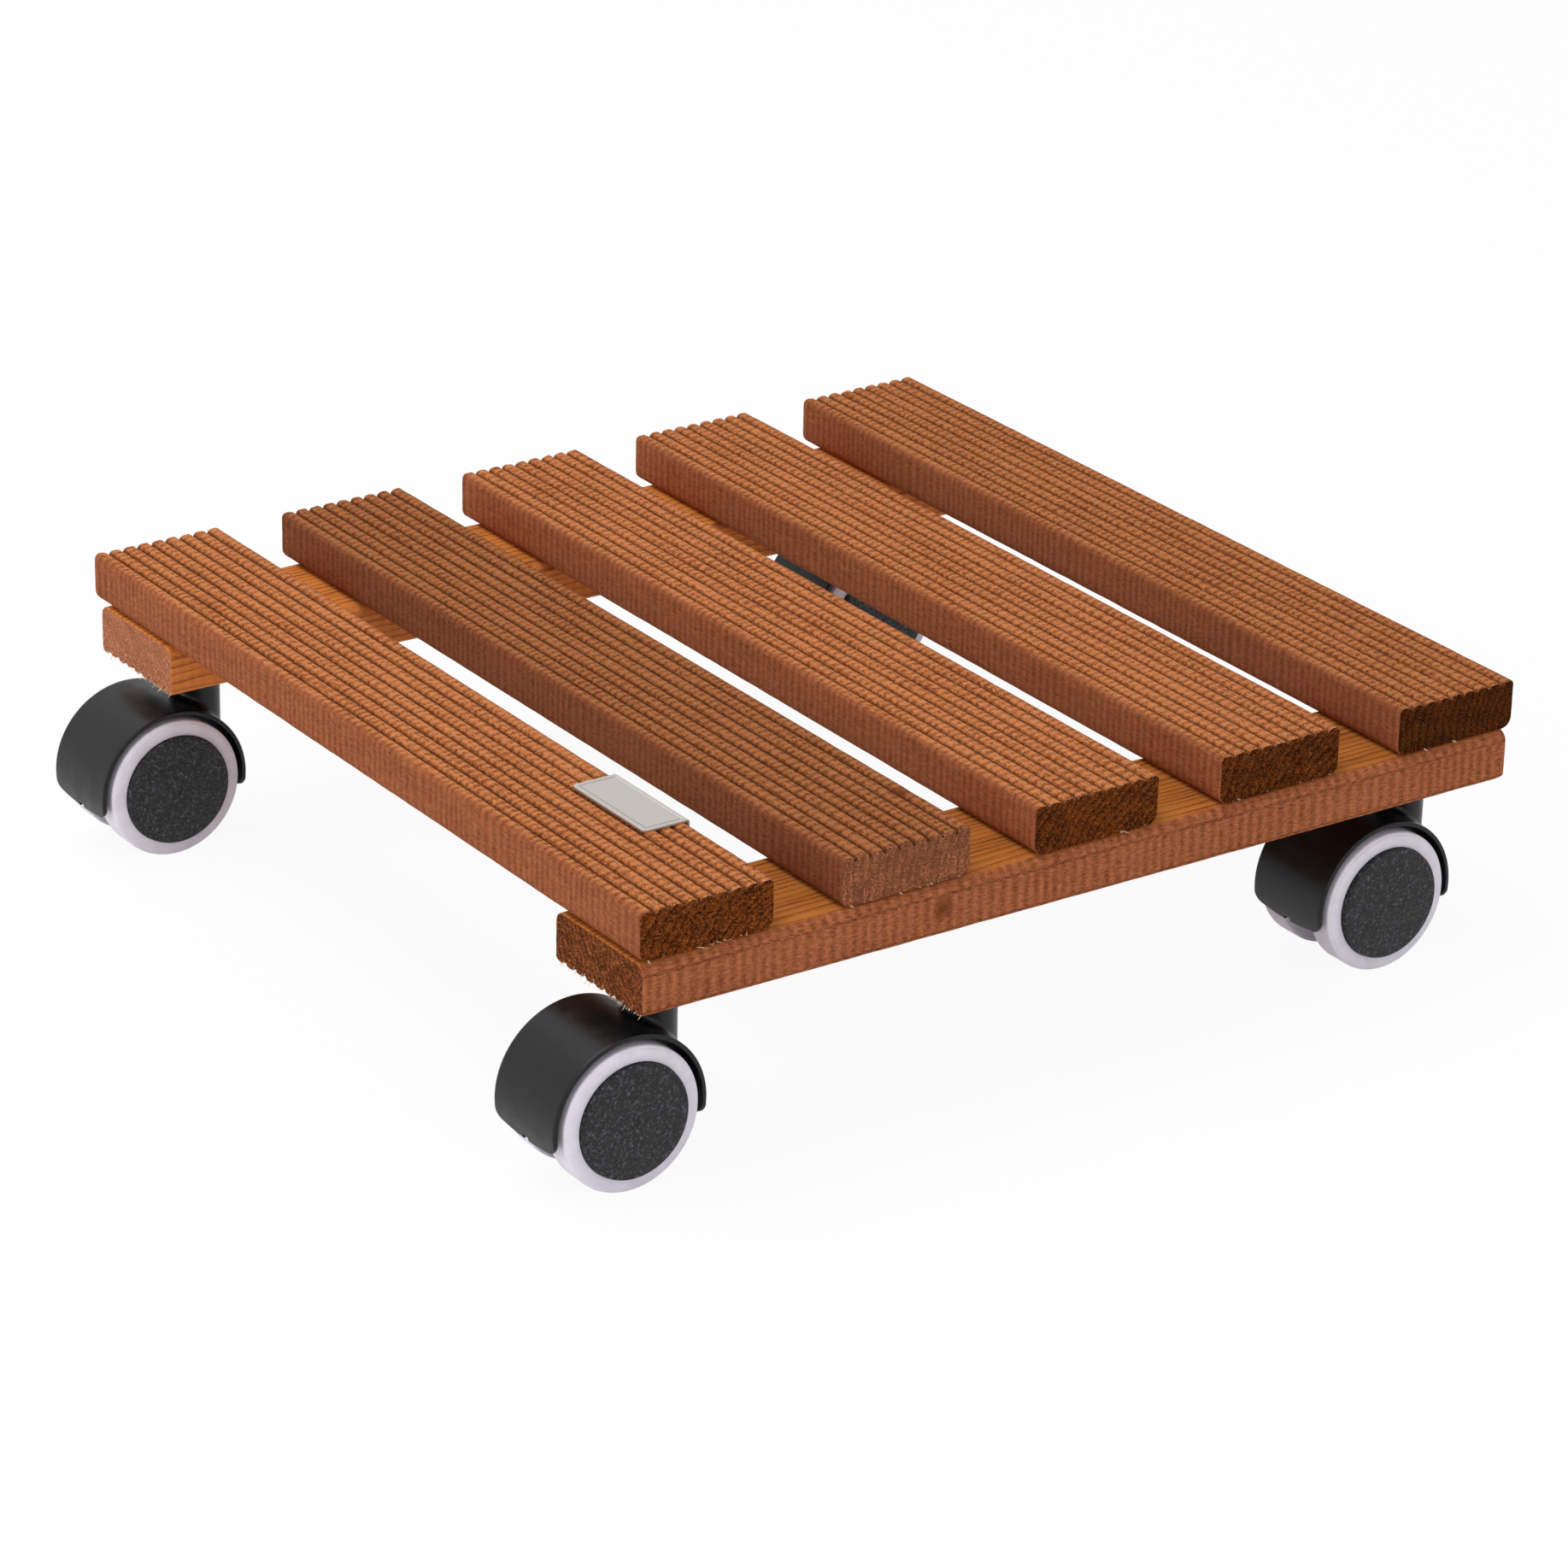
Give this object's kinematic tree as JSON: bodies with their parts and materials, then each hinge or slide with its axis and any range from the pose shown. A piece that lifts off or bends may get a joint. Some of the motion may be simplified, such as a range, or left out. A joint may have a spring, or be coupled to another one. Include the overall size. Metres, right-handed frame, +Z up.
{
  "type": "plant caddy",
  "caption": "Square wheeled stand for a plant pot: ribbed wooden slats screwed to ribbed bearers, rolling on twin-wheel swivel casters.",
  "frame": {"origin": "Middle of the deck's top face, on the crown of the middle slat's middle ridge.", "axes": "+X runs along the slats to the front bearer, +Y across the slats from the first to the last, +Z up. The casters trail toward -Y."},
  "size_m": [0.3523, 0.3791, 0.0988],
  "materials": {
    "slat_wood": "reddish brown stain on ribbed softwood, satin",
    "bearer_wood": "brown stain on rough sawn softwood, matt",
    "nameplate_metal": "satin, with an engraved border",
    "screw_steel": "zinc plated",
    "plate_steel": "zinc plated",
    "hood_plastic": "black, satin, finely textured",
    "core_plastic": "black, satin",
    "cap_plastic": "black, with a coarse leather grain",
    "soft_tread": "light blue grey, matt, soft"
  },
  "bodies": {
    "deck": {"slat_1": "slat_wood", "slat_2": "slat_wood", "slat_3": "slat_wood", "slat_4": "slat_wood", "slat_5": "slat_wood", "front_bearer": "bearer_wood", "back_bearer": "bearer_wood", "nameplate": "nameplate_metal", "slat_screws": "screw_steel", "caster_screws": "screw_steel", "front_left_plate": "plate_steel", "front_left_pin": "plate_steel", "front_left_ring": "plate_steel", "front_right_plate": "plate_steel", "front_right_pin": "plate_steel", "front_right_ring": "plate_steel", "back_left_plate": "plate_steel", "back_left_pin": "plate_steel", "back_left_ring": "plate_steel", "back_right_plate": "plate_steel", "back_right_pin": "plate_steel", "back_right_ring": "plate_steel"},
    "front_left_swivel": {"front_left_hood": "hood_plastic", "front_left_axle": "plate_steel"},
    "front_left_outer_wheel": {"front_left_outer_core": "core_plastic", "front_left_outer_tread": "soft_tread", "front_left_outer_cap": "cap_plastic"},
    "front_left_inner_wheel": {"front_left_inner_core": "core_plastic", "front_left_inner_tread": "soft_tread", "front_left_inner_cap": "cap_plastic"},
    "front_right_swivel": {"front_right_hood": "hood_plastic", "front_right_axle": "plate_steel"},
    "front_right_outer_wheel": {"front_right_outer_core": "core_plastic", "front_right_outer_tread": "soft_tread", "front_right_outer_cap": "cap_plastic"},
    "front_right_inner_wheel": {"front_right_inner_core": "core_plastic", "front_right_inner_tread": "soft_tread", "front_right_inner_cap": "cap_plastic"},
    "back_left_swivel": {"back_left_hood": "hood_plastic", "back_left_axle": "plate_steel"},
    "back_left_outer_wheel": {"back_left_outer_core": "core_plastic", "back_left_outer_tread": "soft_tread", "back_left_outer_cap": "cap_plastic"},
    "back_left_inner_wheel": {"back_left_inner_core": "core_plastic", "back_left_inner_tread": "soft_tread", "back_left_inner_cap": "cap_plastic"},
    "back_right_swivel": {"back_right_hood": "hood_plastic", "back_right_axle": "plate_steel"},
    "back_right_outer_wheel": {"back_right_outer_core": "core_plastic", "back_right_outer_tread": "soft_tread", "back_right_outer_cap": "cap_plastic"},
    "back_right_inner_wheel": {"back_right_inner_core": "core_plastic", "back_right_inner_tread": "soft_tread", "back_right_inner_cap": "cap_plastic"}
  },
  "joints": [
    {"name": "front_left_swivels", "type": "hinge", "parent": "deck", "child": "front_left_swivel", "pos_m": [0.1523, -0.1563, -0.063], "axis": [0, 0, 1], "continuous": true},
    {"name": "front_left_outer_rolls", "type": "hinge", "parent": "front_left_swivel", "child": "front_left_outer_wheel", "pos_m": [0.1523, -0.1748, -0.073], "axis": [1, 0, 0], "continuous": true},
    {"name": "front_left_inner_rolls", "type": "hinge", "parent": "front_left_swivel", "child": "front_left_inner_wheel", "pos_m": [0.1523, -0.1748, -0.073], "axis": [1, 0, 0], "continuous": true},
    {"name": "front_right_swivels", "type": "hinge", "parent": "deck", "child": "front_right_swivel", "pos_m": [0.1523, 0.1477, -0.063], "axis": [0, 0, 1], "continuous": true},
    {"name": "front_right_outer_rolls", "type": "hinge", "parent": "front_right_swivel", "child": "front_right_outer_wheel", "pos_m": [0.1523, 0.1292, -0.073], "axis": [1, 0, 0], "continuous": true},
    {"name": "front_right_inner_rolls", "type": "hinge", "parent": "front_right_swivel", "child": "front_right_inner_wheel", "pos_m": [0.1523, 0.1292, -0.073], "axis": [1, 0, 0], "continuous": true},
    {"name": "back_left_swivels", "type": "hinge", "parent": "deck", "child": "back_left_swivel", "pos_m": [-0.1456, -0.1528, -0.063], "axis": [0, 0, 1], "continuous": true},
    {"name": "back_left_outer_rolls", "type": "hinge", "parent": "back_left_swivel", "child": "back_left_outer_wheel", "pos_m": [-0.1456, -0.1713, -0.073], "axis": [1, 0, 0], "continuous": true},
    {"name": "back_left_inner_rolls", "type": "hinge", "parent": "back_left_swivel", "child": "back_left_inner_wheel", "pos_m": [-0.1456, -0.1713, -0.073], "axis": [1, 0, 0], "continuous": true},
    {"name": "back_right_swivels", "type": "hinge", "parent": "deck", "child": "back_right_swivel", "pos_m": [-0.1456, 0.1477, -0.063], "axis": [0, 0, 1], "continuous": true},
    {"name": "back_right_outer_rolls", "type": "hinge", "parent": "back_right_swivel", "child": "back_right_outer_wheel", "pos_m": [-0.1456, 0.1292, -0.073], "axis": [1, 0, 0], "continuous": true},
    {"name": "back_right_inner_rolls", "type": "hinge", "parent": "back_right_swivel", "child": "back_right_inner_wheel", "pos_m": [-0.1456, 0.1292, -0.073], "axis": [1, 0, 0], "continuous": true}
  ]
}
